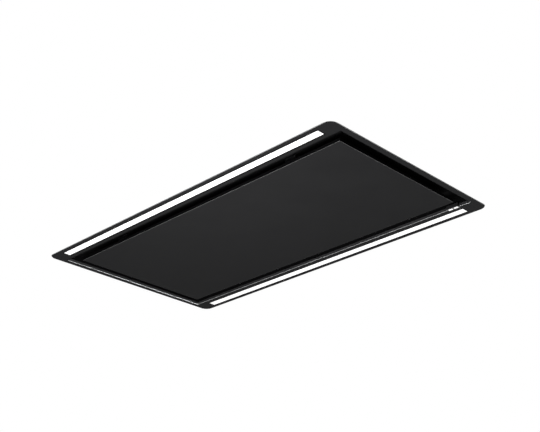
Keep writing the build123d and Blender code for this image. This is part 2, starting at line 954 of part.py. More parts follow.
with BuildPart() as scroll_cover:
    with BuildSketch(Plane.XY.offset(cover_under)):
        add(volute(scroll_edge))
        Circle(motor_radius + pin_gap + motor_wall, mode=Mode.SUBTRACT)
    extrude(amount=scroll_sheet)
    drill(cover_screws + mount_screws)
save(scroll_cover, "scroll_cover")


# Impeller: forward-curved blades between a ring and a plate that is dished around the motor
impeller_top = impeller_under + impeller_height
motor_under = shield_under - motor_depth
bowl_floor = motor_under - motor_clearance
hub_under = bowl_floor - hub_height

with BuildPart() as impeller:
    with BuildSketch(Plane.XY.offset(impeller_top - impeller_plate)):
        Circle(impeller_radius)
        Circle(bowl_radius - bowl_wall, mode=Mode.SUBTRACT)
    extrude(amount=impeller_plate)
    with BuildSketch(Plane.XY.offset(bowl_floor - bowl_wall)):
        Circle(bowl_radius)
    extrude(amount=impeller_top - bowl_floor + bowl_wall)
    with BuildSketch(Plane.XY.offset(bowl_floor)):
        Circle(bowl_radius - bowl_wall)
    extrude(amount=impeller_top - bowl_floor, mode=Mode.SUBTRACT)
    with BuildSketch(Plane.XY.offset(hub_under)):
        Circle(hub_radius)
    extrude(amount=hub_height - bowl_wall)
    with BuildSketch(Plane.XY.offset(hub_under)):
        Circle(shaft_radius)
    extrude(amount=hub_height, mode=Mode.SUBTRACT)
save(impeller, "impeller_plate")

with BuildPart() as blade:
    with BuildSketch(Plane.XY.offset(ring_top)):
        with BuildLine():
            ThreePointArc(
                (blade_inner_radius + blade_sheet, 0),
                ((blade_inner_radius + impeller_radius) / 2, -blade_bow / 3),
                (impeller_radius - blade_sheet, blade_bow),
            )
        trace(line_width=blade_sheet)
    extrude(amount=impeller_top - impeller_plate - ring_top)
blade_turns = [Location((0, 0, 0), (0, 0, i * 360 / blade_count)) for i in range(blade_count)]
save_group(blade.part, blade_turns, "impeller_blades")


def make_ring(outer, inner, level, height):
    with BuildPart() as ring:
        with BuildSketch(Plane.XY.offset(level)):
            Circle(outer)
            Circle(inner, mode=Mode.SUBTRACT)
        extrude(amount=height)
    return ring


end_ring = make_ring(impeller_radius, blade_inner_radius, impeller_under, impeller_ring)
save(end_ring, "impeller_ring")
impeller_nut_shape = make_nut(impeller_nut_flats, impeller_nut, shaft_radius)
save_group(impeller_nut_shape, [(0, 0, hub_under - impeller_nut)], "impeller_nut")


# Fan motor: cup, shield, two bearings, stator core with coils, rotor on its shaft
lower_bearing = motor_under + motor_wall
upper_bearing = shield_under - bearing_width
core_middle = (lower_bearing + shield_under) / 2
core_under = core_middle - core_height / 2
seat_radius = bearing_radius + bearing_wall
shaft_under = hub_under - impeller_nut - shaft_end
shaft_top = shield_under - slide_gap

with BuildPart() as shaft:
    with BuildSketch(Plane.XY.offset(shaft_under)):
        Circle(shaft_radius)
    extrude(amount=shaft_top - shaft_under)
    chamfer(shaft.edges().filter_by(GeomType.CIRCLE), shaft_radius / 8)
save(shaft, "motor_shaft")


save(make_ring(rotor_radius, shaft_radius, core_under, core_height), "motor_rotor")
core_inner = rotor_radius + core_air_gap
core_outer = motor_radius - motor_wall
save(make_ring(core_outer, core_inner, core_under, core_height), "motor_stator")
coil_outer = core_outer - motor_wall
coil = make_ring(coil_outer, coil_inner_radius, 0, coil_height)
coil_levels = (core_under - coil_height, core_under + core_height)
save_group(coil.part, [(0, 0, z) for z in coil_levels], "stator_coils")
bearing = make_ring(bearing_radius, shaft_radius + pin_gap / 2, 0, bearing_width)
save_group(bearing.part, [(0, 0, lower_bearing), (0, 0, upper_bearing)], "motor_bearings")

with BuildPart() as cup:
    with BuildSketch(Plane.XY.offset(motor_under)):
        Circle(motor_radius)
    extrude(amount=motor_depth)
    fillet(cup.edges().group_by(Axis.Z)[0], motor_wall)
    with BuildSketch(Plane.XY.offset(lower_bearing)):
        Circle(core_outer)
    extrude(amount=motor_depth, mode=Mode.SUBTRACT)
    with BuildSketch(Plane.XY.offset(lower_bearing)):
        Circle(seat_radius)
        Circle(bearing_radius, mode=Mode.SUBTRACT)
    extrude(amount=bearing_width)
    with BuildSketch(Plane.XY.offset(motor_under)):
        Circle(shaft_radius + motor_wall)
    extrude(amount=motor_wall, mode=Mode.SUBTRACT)
save(cup, "motor_cup")

lead_top = bracket_under + slide_gap + lead_radius
boss_x = -(motor_radius - lead_boss_length / 2)
with BuildPart() as shield:
    with BuildSketch(Plane.XY.offset(shield_under)):
        Circle(motor_radius)
    extrude(amount=motor_plate)
    with BuildSketch(Plane.XY.offset(upper_bearing)):
        Circle(seat_radius)
        Circle(bearing_radius, mode=Mode.SUBTRACT)
    extrude(amount=bearing_width)
    # Small boss where the lead enters
    with BuildSketch(Plane.XY.offset(bracket_under)):
        with Locations((boss_x, lead_side)):
            Rectangle(lead_boss_length, lead_boss_width, align=(Align.MIN, Align.CENTER))
    extrude(amount=2 * lead_radius + slide_gap)
    drill(shield_screws)
save(shield, "motor_shield")

with BuildPart() as motor_bracket:
    with BuildSketch(Plane.XY.offset(bracket_under)):
        Circle(bracket_ring)
        for i in range(3):
            with BuildLine(Plane.XY.rotated((0, 0, 30 + 120 * i))):
                Line((bracket_bore, 0), (mount_circle, 0))
            trace(line_width=arm_width)
        with Locations(*mount_points):
            Circle(arm_width / 2)
        Circle(bracket_bore, mode=Mode.SUBTRACT)
    extrude(amount=motor_plate)
    drill(mount_screws + shield_screws)
save(motor_bracket, "motor_bracket")

with BuildPart() as rubber:
    Cylinder(mount_radius, motor_mount_height, align=(Align.CENTER, Align.CENTER, Align.MIN))
    Cylinder(screw_radius + pin_gap, 3 * motor_mount_height, mode=Mode.SUBTRACT)
save_group(rubber.part, [(x, y, scroll_top) for x, y in mount_points], "rubber_mounts")


# Motor box over the blower
box_length = motor_box_front - motor_box_back
box_middle = (motor_box_front + motor_box_back) / 2
box_half = motor_box_width / 2
foot_x = box_length / 2 + box_foot / 2
box_screws = [
    facing((box_middle + fx, side * (box_half + box_foot / 2), plenum_height + casing_sheet), up)
    for fx in (box_screw_end - box_length / 2, 0, box_length / 2 - box_screw_end)
    for side in (-1, 1)
] + [
    facing((box_middle - foot_x, y, plenum_height + casing_sheet), up)
    for y in (-motor_box_width / 4, motor_box_width / 4)
]

duct_y = (outlet_low + outlet_high) / 2
duct_z = box_under - (box_under - plenum_height) / 2 + casing_sheet / 2
duct_plane = Plane(origin=(motor_box_front, duct_y, duct_z), x_dir=(0, 1, 0), z_dir=(1, 0, 0))
duct_inside = (duct_width - 2 * duct_wall, duct_height - 2 * duct_wall)
plate_half = min(
    duct_z - plenum_height - casing_sheet - slide_gap,
    overall_height - duct_z - slide_gap,
)
ear_y = duct_width / 2 + spigot_ear / 2
spigot_screws = [
    facing((motor_box_front + spigot_plate, duct_y + sy, duct_z + sz), (1, 0, 0))
    for sy in (-ear_y, ear_y)
    for sz in (-spigot_screw_rise, 0, spigot_screw_rise)
]
control_x = motor_box_back - control_gap - control_length / 2
control_centre = (control_x, control_y)
grommet_places = [
    Plane(origin=(x, lead_side, lead_height), z_dir=(-1, 0, 0)).location
    for x in (motor_box_back, control_x + control_length / 2 - control_sheet)
]

with BuildPart() as motor_box:
    with BuildSketch(Plane.XY.offset(plenum_height)):
        with Locations((box_middle, 0)):
            Rectangle(box_length, motor_box_width)
    extrude(amount=overall_height - plenum_height)
    with BuildSketch(Plane.XY.offset(plenum_height)):
        with Locations((box_middle, 0)):
            Rectangle(box_length + 2 * box_foot, motor_box_width + 2 * box_foot)
    extrude(amount=casing_sheet)
    with BuildSketch(Plane.XY.offset(plenum_height)):
        with Locations((box_middle, 0)):
            Rectangle(box_length - 2 * casing_sheet, motor_box_width - 2 * casing_sheet)
    extrude(amount=box_under - plenum_height, mode=Mode.SUBTRACT)
    with BuildSketch(duct_plane):
        Rectangle(*duct_inside)
    extrude(amount=-casing_sheet, mode=Mode.SUBTRACT)
    with Locations(grommet_places[0]):
        Cylinder(grommet_radius, 4 * casing_sheet, mode=Mode.SUBTRACT)
    drill(box_screws + spigot_screws)
save(motor_box, "motor_box")


# Outlet spigot with two gravity flaps
flap_x = flap_inset
flap_levels = {
    "upper": duct_inside[1] / 2 - flap_rod_radius - flap_gap,
    "lower": -flap_gap / 2,
}
flap_bottoms = {
    "upper": flap_levels["lower"] + flap_rod_radius + flap_gap,
    "lower": -duct_inside[1] / 2 + flap_gap,
}
pin_circle = flap_pin_radius + pin_gap
side_reach = duct_width / 2 + flap_boss

with BuildPart() as spigot:
    with BuildSketch(duct_plane):
        RectangleRounded(duct_width, duct_height, duct_corner)
    extrude(amount=spigot_length)
    with BuildSketch(duct_plane):
        Rectangle(duct_width + 2 * spigot_ear, 2 * plate_half)
    extrude(amount=spigot_plate)
    for level in flap_levels.values():
        with BuildSketch(Plane.XZ.offset(-duct_y)):
            with Locations((motor_box_front + flap_x, duct_z + level)):
                Circle(flap_boss_radius)
        extrude(amount=side_reach, both=True)
    with BuildSketch(duct_plane):
        Rectangle(*duct_inside)
    extrude(amount=spigot_length, mode=Mode.SUBTRACT)
    for level in flap_levels.values():
        with BuildSketch(Plane.XZ.offset(-duct_y)):
            with Locations((motor_box_front + flap_x, duct_z + level)):
                Circle(pin_circle)
        extrude(amount=side_reach, both=True, mode=Mode.SUBTRACT)
    drill(spigot_screws)
save(spigot, "outlet_spigot")


def make_flap(place):
    axis_plane = Plane.XZ.offset(-duct_y)
    axis_point = (motor_box_front + flap_x, duct_z + flap_levels[place])
    half = duct_inside[0] / 2 - flap_gap
    drop = flap_levels[place] - flap_bottoms[place]
    with BuildPart() as flap:
        with BuildSketch(axis_plane):
            with Locations(axis_point):
                Circle(flap_rod_radius)
                Rectangle(flap_sheet, drop, align=(Align.CENTER, Align.MAX))
        extrude(amount=half, both=True)
        with BuildSketch(axis_plane):
            with Locations(axis_point):
                Circle(flap_pin_radius)
        extrude(amount=duct_inside[0] / 2 + flap_pin_length, both=True)
    save(flap, f"flap_{place}")


make_flap("upper")
make_flap("lower")


# Control box on the plenum roof, with its board, capacitor, terminals, gland and lead
control_top = plenum_height + control_height
control_floor = plenum_height + control_sheet
ear_places = [
    (control_x + fx, control_y + side * (control_width / 2 + control_ear / 2))
    for fx in (-control_length / 3, control_length / 3)
    for side in (-1, 1)
]
ear_screws = [facing((x, y, control_floor), up) for x, y in ear_places]
post_x = control_length / 2 - control_sheet - control_post / 2
post_y = control_width / 2 - control_sheet - control_post / 2
post_places = [(control_x + x, control_y + y) for x, y in both_ways(post_x, post_y)]
cover_top = control_top + control_sheet
lid_screws = [facing((x, y, cover_top), up) for x, y in post_places]
circuit_centre = (control_x + circuit_shift[0], control_y + circuit_shift[1])
standoff_places = [
    (circuit_centre[0] + x, circuit_centre[1] + y)
    for x, y in both_ways(
        circuit_length / 2 - circuit_inset, circuit_width / 2 - circuit_inset
    )
]
board_level = control_floor + standoff_height
gland_z = plenum_height + control_height / 2
gland_wall = control_x - control_length / 2
gland_plane = Plane(origin=(gland_wall, control_y, gland_z), z_dir=(-1, 0, 0))

with BuildPart() as control_box:
    with BuildSketch(Plane.XY.offset(plenum_height)):
        with Locations(control_centre):
            Rectangle(control_length, control_width)
    extrude(amount=control_height)
    with BuildSketch(Plane.XY.offset(control_floor)):
        with Locations(control_centre):
            Rectangle(control_length - 2 * control_sheet, control_width - 2 * control_sheet)
    extrude(amount=control_height, mode=Mode.SUBTRACT)
    with BuildSketch(Plane.XY.offset(plenum_height)):
        with Locations(*ear_places):
            Rectangle(2 * control_ear, control_ear)
    extrude(amount=control_sheet)
    with BuildSketch(Plane.XY.offset(control_top)):
        with Locations(*post_places):
            Rectangle(control_post, control_post)
    extrude(amount=-screw_length - control_post / 2)
    with BuildSketch(Plane.XY.offset(control_floor)):
        with Locations(*standoff_places):
            Circle(standoff_radius)
    extrude(amount=standoff_height)
    with BuildSketch(Plane.XY.offset(board_level)):
        with Locations(*standoff_places):
            Circle(standoff_pin)
    extrude(amount=2 * circuit_thickness)
    with Locations(grommet_places[1], gland_plane.location):
        Cylinder(grommet_radius, 4 * control_sheet, mode=Mode.SUBTRACT)
    with BuildSketch(gland_plane):
        Circle(gland_thread_radius + pin_gap)
    extrude(amount=-control_sheet, mode=Mode.SUBTRACT)
    drill(ear_screws + lid_screws)
save(control_box, "control_box")

with BuildPart() as control_cover:
    with BuildSketch(Plane.XY.offset(control_top)):
        with Locations(control_centre):
            Rectangle(control_length, control_width)
    extrude(amount=control_sheet)
    drill(lid_screws)
save(control_cover, "control_cover")

with BuildPart() as circuit:
    with BuildSketch(Plane.XY.offset(board_level)):
        with Locations(circuit_centre):
            Rectangle(circuit_length, circuit_width)
        with Locations(*standoff_places):
            Circle(standoff_pin + pin_gap, mode=Mode.SUBTRACT)
    extrude(amount=circuit_thickness)
save(circuit, "circuit_board")

on_board = board_level + circuit_thickness
bottom = (Align.CENTER, Align.CENTER, Align.MIN)
relay_places = [
    (
        circuit_centre[0] + (i - (relay_count - 1) / 2) * relay_pitch,
        circuit_centre[1] + circuit_width / 4,
        on_board,
    )
    for i in range(relay_count)
]
transformer_place = (circuit_centre[0], circuit_centre[1] - circuit_width / 5, on_board)
with BuildPart() as board_parts:
    with Locations(*relay_places):
        Box(*relay_size, align=bottom)
    with Locations(transformer_place):
        Box(*transformer_size, align=bottom)
    fillet(board_parts.edges().filter_by(Axis.Z), control_sheet)
save(board_parts, "board_components")

with BuildPart() as capacitor:
    with BuildSketch(Plane.YZ.offset(control_x + capacitor_shift[0] - capacitor_length / 2)):
        with Locations((control_y + capacitor_shift[1], control_floor + capacitor_radius)):
            Circle(capacitor_radius)
    extrude(amount=capacitor_length)
    fillet(capacitor.edges().filter_by(GeomType.CIRCLE), capacitor_radius / 8)
save(capacitor, "motor_capacitor")

lead_start = control_x + control_length / 2 - 3 * grommet_radius
block_place = (lead_start - terminal_block_size[0] / 2, lead_side, control_floor)
with BuildPart() as block:
    Box(*terminal_block_size, align=bottom)
    fillet(block.faces().sort_by(Axis.Z)[-1].edges(), control_sheet)
save_group(block.part, [block_place], "terminal_block")

with BuildPart() as gland:
    with BuildSketch(gland_plane):
        RegularPolygon(gland_radius, 6, major_radius=False)
    extrude(amount=gland_nut)
    with BuildSketch(gland_plane.offset(gland_nut)):
        Circle(gland_nose_radius)
    extrude(amount=gland_nose)
    fillet(gland.edges().sort_by(Axis.X)[0], gland_radius / 4)
    with BuildSketch(gland_plane):
        Circle(gland_thread_radius)
    extrude(amount=-gland_nut)
    with BuildSketch(gland_plane.offset(-control_sheet)):
        RegularPolygon(gland_radius, 6, major_radius=False)
        Circle(gland_thread_radius, mode=Mode.SUBTRACT)
    extrude(amount=-gland_nut / 2)
    with BuildSketch(gland_plane.offset(gland_nut + gland_nose)):
        Circle(gland_bore)
    extrude(amount=-2 * gland_nut - gland_nose, mode=Mode.SUBTRACT)
save(gland, "cable_gland")

# One grommet: its middle fills the hole, a lip lies on each side of the sheet
with BuildPart() as grommet:
    with BuildSketch(Plane.XY.offset(-casing_sheet)):
        Circle(grommet_radius)
    extrude(amount=casing_sheet)
    for level, side in ((0, 1), (-casing_sheet, -1)):
        with BuildSketch(Plane.XY.offset(level)):
            Circle(grommet_radius + grommet_lip)
        extrude(amount=side * grommet_lip)
    Cylinder(lead_radius + pin_gap, 8 * grommet_lip, mode=Mode.SUBTRACT)
save_group(grommet.part, grommet_places, "lead_grommets")

lead_rise = (motor_box_back + casing_sheet + scroll_back) / 2
with BuildPart() as lead:
    with BuildLine() as route:
        FilletPolyline(
            (lead_start, lead_side, lead_height),
            (lead_rise, lead_side, lead_height),
            (lead_rise, lead_side, lead_top),
            (boss_x, lead_side, lead_top),
            radius=lead_bend,
        )
    with BuildSketch(Plane(origin=route.line @ 0, z_dir=route.line % 0)):
        Circle(lead_radius)
    sweep()
save(lead, "motor_lead")

driver_length, driver_width, driver_height = driver_size
driver_y = control_y + control_width / 2 + control_ear + driver_gap + driver_width / 2
driver_centre = (control_x, driver_y)
driver_screw_x = (driver_length + driver_tab) / 2
driver_screws = [
    facing((control_x + side * driver_screw_x, driver_y, plenum_height + motor_plate), up)
    for side in (-1, 1)
]
with BuildPart() as driver:
    with BuildSketch(Plane.XY.offset(plenum_height)):
        with Locations(driver_centre):
            Rectangle(driver_length, driver_width)
    extrude(amount=driver_height)
    fillet(driver.edges().filter_by(Axis.Z), motor_plate)
    with BuildSketch(Plane.XY.offset(plenum_height)):
        with Locations(driver_centre):
            Rectangle(driver_length + 2 * driver_tab, driver_width / 2)
    extrude(amount=motor_plate)
    drill(driver_screws)
save(driver, "led_driver")


# Plenum box: folded casing between the frame and the blower
with BuildPart() as plenum:
    with BuildSketch(Plane.XY.offset(frame_sheet)):
        Rectangle(plenum_length, plenum_width)
    extrude(amount=plenum_height - frame_sheet)
    with BuildSketch(Plane.XY.offset(frame_sheet)):
        Rectangle(deck_length, plenum_width + 2 * foot_width)
    extrude(amount=casing_sheet)
    with BuildSketch(Plane.XY.offset(frame_sheet)):
        Rectangle(deck_length + 2 * fit_gap, deck_width + 2 * fit_gap)
    extrude(amount=roof_under - frame_sheet, mode=Mode.SUBTRACT)
    with BuildSketch(Plane.XY.offset(roof_under)):
        Circle(scroll_hole_radius)
    extrude(amount=casing_sheet, mode=Mode.SUBTRACT)
    with BuildSketch(Plane.XY.offset(frame_sheet)):
        with Locations(*stud_places):
            Circle(stud_radius + pin_gap)
    extrude(amount=casing_sheet, mode=Mode.SUBTRACT)
    # Clear of the key housing
    with BuildSketch(Plane.XY.offset(frame_sheet)):
        with Locations((key_place, deck_width / 2)):
            Rectangle(
                housing_length + 2 * fit_gap,
                foot_width + 2 * casing_sheet + 2 * fit_gap,
                align=(Align.CENTER, Align.MIN),
            )
    extrude(amount=lip_height - frame_sheet + fit_gap, mode=Mode.SUBTRACT)
    drill(
        wall_screws + hanger_screws + base_screws + ring_screws
        + box_screws + ear_screws + driver_screws
    )
save(plenum, "plenum_box")


# Key housing in the opening's rear edge, with two push keys and their board
key_top = key_body
pocket_top = key_top + key_travel + slide_gap
web_top = pocket_top + housing_web
stem_top = key_top + key_stem
board_under = stem_top + key_travel + slide_gap
key_places = {"light": key_place - key_pitch / 2, "fan": key_place + key_pitch / 2}
ledge = 2 * housing_wall

with BuildPart() as housing:
    with BuildSketch():
        with Locations((key_place, key_line)):
            Rectangle(housing_length, housing_width)
    extrude(amount=lip_height)
    with BuildSketch(Plane.XY.offset(frame_sheet)):
        with Locations((key_place, key_line)):
            Rectangle(
                housing_length,
                housing_width / 2 + foot_width / 2,
                align=(Align.CENTER, Align.MIN),
            )
    extrude(amount=housing_wall)
    with BuildSketch():
        with Locations(*[(x, key_line) for x in key_places.values()]):
            Rectangle(key_length + 2 * slide_gap, key_width + 2 * slide_gap)
    extrude(amount=pocket_top, mode=Mode.SUBTRACT)
    with BuildSketch():
        with Locations(*[(x, key_line) for x in key_places.values()]):
            Circle(key_stem_radius + pin_gap)
    extrude(amount=web_top, mode=Mode.SUBTRACT)
    with BuildSketch(Plane.XY.offset(web_top)):
        with Locations((key_place, key_line)):
            Rectangle(
                housing_length - 2 * housing_wall - 2 * ledge, housing_width - 2 * housing_wall
            )
    extrude(amount=lip_height, mode=Mode.SUBTRACT)
    with BuildSketch(Plane.XY.offset(board_under)):
        with Locations((key_place, key_line)):
            Rectangle(housing_length - 2 * housing_wall, housing_width - 2 * housing_wall)
    extrude(amount=lip_height, mode=Mode.SUBTRACT)
save(housing, "key_housing")

with BuildPart() as key_board:
    with BuildSketch(Plane.XY.offset(board_under)):
        with Locations((key_place, key_line)):
            Rectangle(
                housing_length - 2 * housing_wall - 2 * slide_gap,
                housing_width - 2 * housing_wall - 2 * slide_gap,
            )
    extrude(amount=key_board_thickness)
save(key_board, "key_board")

for name, x in key_places.items():
    with BuildPart() as key:
        with BuildSketch():
            with Locations((x, key_line)):
                Rectangle(key_length, key_width)
        extrude(amount=key_body)
        fillet(key.faces().sort_by(Axis.Z)[0].edges(), key_edge_radius)
        with BuildSketch(Plane.XY.offset(key_top)):
            with Locations((x, key_line)):
                Circle(key_stem_radius)
        extrude(amount=key_stem)
    save(key, f"key_{name}")


# Fasteners: one group of identical screws, one of nuts on the frame, one on the panel
save_group(
    screw_shape,
    wall_screws + hanger_screws + cover_screws + base_screws + ring_screws + mount_screws
    + shield_screws + box_screws + spigot_screws + ear_screws + lid_screws + driver_screws,
    "casing_screws",
)
nut_shape = make_nut(nut_flats, nut_height, stud_radius)
nut_level = frame_sheet + casing_sheet
save_group(nut_shape, [(x, y, nut_level) for x, y in stud_places], "frame_nuts")
save_group(
    nut_shape,
    [(x, y, panel_sheet + hinge_plate) for x, y in panel_studs],
    "panel_nuts",
)
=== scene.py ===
import bmesh
import bpy
import json
import math
from mathutils import Matrix, Vector


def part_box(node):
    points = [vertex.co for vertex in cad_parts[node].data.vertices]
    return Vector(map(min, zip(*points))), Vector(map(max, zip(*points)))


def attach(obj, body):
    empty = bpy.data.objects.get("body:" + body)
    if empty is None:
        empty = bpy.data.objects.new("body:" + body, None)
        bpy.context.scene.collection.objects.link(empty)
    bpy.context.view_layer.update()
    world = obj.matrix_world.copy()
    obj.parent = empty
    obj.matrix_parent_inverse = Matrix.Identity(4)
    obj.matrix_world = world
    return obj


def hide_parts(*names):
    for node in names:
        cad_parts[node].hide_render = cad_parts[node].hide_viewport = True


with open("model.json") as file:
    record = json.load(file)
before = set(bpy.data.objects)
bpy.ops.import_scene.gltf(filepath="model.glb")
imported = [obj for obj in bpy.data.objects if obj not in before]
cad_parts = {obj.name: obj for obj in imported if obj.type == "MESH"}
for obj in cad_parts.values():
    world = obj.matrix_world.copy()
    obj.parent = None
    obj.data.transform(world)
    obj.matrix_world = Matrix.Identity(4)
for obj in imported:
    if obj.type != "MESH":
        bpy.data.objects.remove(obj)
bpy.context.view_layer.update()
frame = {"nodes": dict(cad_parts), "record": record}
nodes = frame["nodes"]
print("frame loaded:", len(nodes), "nodes")


class Wire:
    # a node socket that takes part in sums: each operator adds one Math node
    def __init__(self, board, socket):
        self.board = board
        self.socket = socket

    def math(self, operation, *others):
        inputs = dict(enumerate((self, *others)))
        return self.board.node("ShaderNodeMath", {"operation": operation}, inputs)

    def __add__(self, other):
        return self.math("ADD", other)

    def __mul__(self, other):
        return self.math("MULTIPLY", other)

    def __sub__(self, other):
        return self.math("SUBTRACT", other)

    def __rsub__(self, other):
        return (self * -1) + other

    def __truediv__(self, other):
        return self.math("DIVIDE", other)

    def __lt__(self, other):
        return self.math("LESS_THAN", other)

    def __gt__(self, other):
        return self.math("GREATER_THAN", other)


class NodeBoard:
    # wraps a node tree; node() adds any node with its settings and inputs
    def __init__(self, tree):
        self.tree = tree

    def node(self, kind, settings=None, inputs=None, out=0):
        made = self.tree.nodes.new(kind)
        for key, value in (settings or {}).items():
            setattr(made, key, value)
        for key, value in (inputs or {}).items():
            self.feed(made.inputs[key], value)
        return Wire(self, made.outputs[out])

    def feed(self, socket, value):
        if isinstance(value, (list, tuple)) and value and isinstance(value[0], Wire):
            for wire in value:
                self.tree.links.new(wire.socket, socket)
        elif isinstance(value, Wire):
            self.tree.links.new(value.socket, socket)
        elif socket.type == "RGBA" and len(value) == 3:
            socket.default_value = (*value, 1)
        else:
            socket.default_value = value


class Finish(NodeBoard):
    # one material, patterned on Object coordinates
    def __init__(self, name):
        self.material = bpy.data.materials.new(name)
        self.material.use_nodes = True
        super().__init__(self.material.node_tree)
        self.tree.nodes.clear()
        self.output = self.tree.nodes.new("ShaderNodeOutputMaterial")
        self.place = self.node("ShaderNodeTexCoord", out="Object")

    def stretched(self, scale):
        return self.node("ShaderNodeMapping", None, {"Vector": self.place, "Scale": scale})

    def noise(self, scale, detail=2.0, stretch=None):
        place = self.stretched(stretch) if stretch else self.place
        return self.node(
            "ShaderNodeTexNoise", None, {"Vector": place, "Scale": scale, "Detail": detail}
        )

    def cells(self, scale, feature="F1", out="Distance", stretch=None):
        place = self.stretched(stretch) if stretch else self.place
        return self.node(
            "ShaderNodeTexVoronoi", {"feature": feature}, {"Vector": place, "Scale": scale}, out
        )

    def span(self, value, low, high, toLow, toHigh):
        inputs = {0: value, 1: low, 2: high, 3: toLow, 4: toHigh}
        return self.node("ShaderNodeMapRange", None, inputs)

    def mix(self, share, first, second):
        return self.node(
            "ShaderNodeMix", {"data_type": "RGBA"}, {0: share, 6: first, 7: second}, out=2
        )

    def bump(self, height, distance, strength=1.0):
        inputs = {"Height": height, "Distance": distance, "Strength": strength}
        return self.node("ShaderNodeBump", None, inputs)

    def surface(self, **inputs):
        shader = self.node(
            "ShaderNodeBsdfPrincipled",
            None,
            {key.replace("_", " "): value for key, value in inputs.items()},
        )
        self.tree.links.new(shader.socket, self.output.inputs["Surface"])
        return self.material


coatFinish = {
    "colour": (0.0152, 0.0152, 0.0159),
    "worn": (0.0172, 0.0172, 0.0179),
    # painted shade: deep black for upright sides, inner sheets and the frame's dark bands
    "paintedShade": (0.0052, 0.0052, 0.0055),
    # painted highlight: paler tone on downward-tilted edge fillets
    "edgeHighlight": (0.13, 0.13, 0.132),
    "grainSize": 0.0011,
    "grainDepth": 0.00003,
    "roughness": (0.4, 0.5),
    "specular": 0.006,
    "shadeTilt": (0.5, 0.9),
    "highlightTilt": (-0.97, -0.4),
}


def coatPattern(f):
    # cloudy tone and fine grain of sprayed enamel
    cloud = f.noise(9, 3)
    grain = f.noise(1 / coatFinish["grainSize"], 2)
    share = f.span(cloud, 0.35, 0.65, 0, 1)
    tone = f.mix(share, coatFinish["colour"], coatFinish["worn"])
    rough = f.span(cloud + grain * 0.35, 0.45, 0.85, *coatFinish["roughness"])
    return tone, rough, f.bump(grain, coatFinish["grainDepth"])


def makeBlackCoat(name, inner):
    # painted shade: upright sides are painted deeper black, and so is all of an inner sheet;
    # painted highlight: downward-tilted lower edges are painted paler
    f = Finish(name)
    tone, rough, normal = coatPattern(f)
    facing = f.node("ShaderNodeTexCoord", out="Normal")
    fall = f.node("ShaderNodeSeparateXYZ", None, {0: facing}, "Z")
    shadeShare = f.span(fall.math("ABSOLUTE"), *coatFinish["shadeTilt"], 1, inner)
    highlightLow, highlightHigh = coatFinish["highlightTilt"]
    # painted highlight on the downward-tilted lower edges
    highlightShare = (fall > highlightLow) * (fall < highlightHigh) * (1 - inner)
    # painted shade: the deep black tone where the sides or the inner sheet are shaded
    sheet = f.mix(shadeShare, tone, coatFinish["paintedShade"])
    return f.surface(
        Base_Color=f.mix(highlightShare, sheet, coatFinish["edgeHighlight"]),
        Roughness=rough,
        Normal=normal,
        Specular_IOR_Level=coatFinish["specular"],
    )


frameFinish = {
    "halfLong": 0.483,
    "halfWide": 0.2325,
    "edge": 0.0012,
    "tilt": -0.82,
    # painted highlight: the pale colour of the rolled opening edge
    "rolledEdgeHighlight": (0.6, 0.605, 0.61),
    "rolledShine": 0.5,
    "rolledPolish": 0.45,
    "outer": (0.4985, 0.282),
    # painted highlight: paler tone on the rounded outer edges
    "outerEdgeHighlight": (0.2, 0.2, 0.202),
    "outerTilt": (-0.985, -0.1),
    "upright": 0.5,
    # painted light on the lip wall low down, painted shade above a given height
    "lipLit": (0.044, 0.044, 0.046),
    "lipShadeHeight": 0.0078,
    "lipShadeTone": (0.002, 0.002, 0.002),
    # painted shade: dark bands beside the opening and around the light slots
    "openingShadeBand": (0.0015, 0.003),
    "slot": (0.45, 0.25865, 0.01125),
    "slotShadeBand": 0.0022,
}


def makeFrameCoat():
    # painted highlight: the opening's rolled edge is painted pale, and is also polished and partly
    # metallic; the lip behind it has painted light low down and painted shade farther up
    f = Finish("frameCoat")
    tone, rough, normal = coatPattern(f)
    x, y, z = (f.node("ShaderNodeSeparateXYZ", None, {0: f.place}, axis) for axis in "XYZ")
    facing = f.node("ShaderNodeTexCoord", out="Normal")
    fall = f.node("ShaderNodeSeparateXYZ", None, {0: facing}, "Z")

    def inside(margins):
        return (x.math("ABSOLUTE") < frameFinish["halfLong"] + margins[0]) * (
            y.math("ABSOLUTE") < frameFinish["halfWide"] + margins[1]
        )

    upright = fall.math("ABSOLUTE") < frameFinish["upright"]
    beside = inside([frameFinish["edge"]] * 2)
    # painted shade: a dark band on the flange beside the opening and around the light slots
    openingShaded = inside(frameFinish["openingShadeBand"])
    slotLong, slotMiddle, slotHalf = frameFinish["slot"]
    slotShaded = (x.math("ABSOLUTE") < slotLong + frameFinish["slotShadeBand"]) * (
        (y.math("ABSOLUTE") - slotMiddle).math("ABSOLUTE") < slotHalf + frameFinish["slotShadeBand"]
    )
    outerLong, outerWide = frameFinish["outer"]
    outerLow, outerHigh = frameFinish["outerTilt"]
    outside = (x.math("ABSOLUTE") > outerLong) + (y.math("ABSOLUTE") > outerWide)
    # painted highlight on the rounded outer edges
    roundedHighlight = outside.math("MINIMUM", 1) * (fall > outerLow) * (fall < outerHigh)
    bandsShaded = (openingShaded + slotShaded).math("MINIMUM", 1)
    rolled = beside * (fall > frameFinish["tilt"]) * (z < frameFinish["edge"])
    lip = beside * upright * (1 - rolled)
    # painted light low on the lip wall, painted shade farther up
    lipLightAndShade = f.mix(z > frameFinish["lipShadeHeight"], frameFinish["lipLit"], frameFinish["lipShadeTone"])
    sheet = f.mix(bandsShaded, tone, coatFinish["paintedShade"])
    sheet = f.mix(roundedHighlight, sheet, frameFinish["outerEdgeHighlight"])
    painted = f.mix(lip, sheet, lipLightAndShade)
    return f.surface(
        # painted highlight: the rolled edge's pale colour
        Base_Color=f.mix(rolled, painted, frameFinish["rolledEdgeHighlight"]),
        Metallic=rolled * frameFinish["rolledShine"],
        Roughness=rough * (1 - rolled * frameFinish["rolledPolish"]),
        Normal=normal,
        Specular_IOR_Level=coatFinish["specular"],
    )


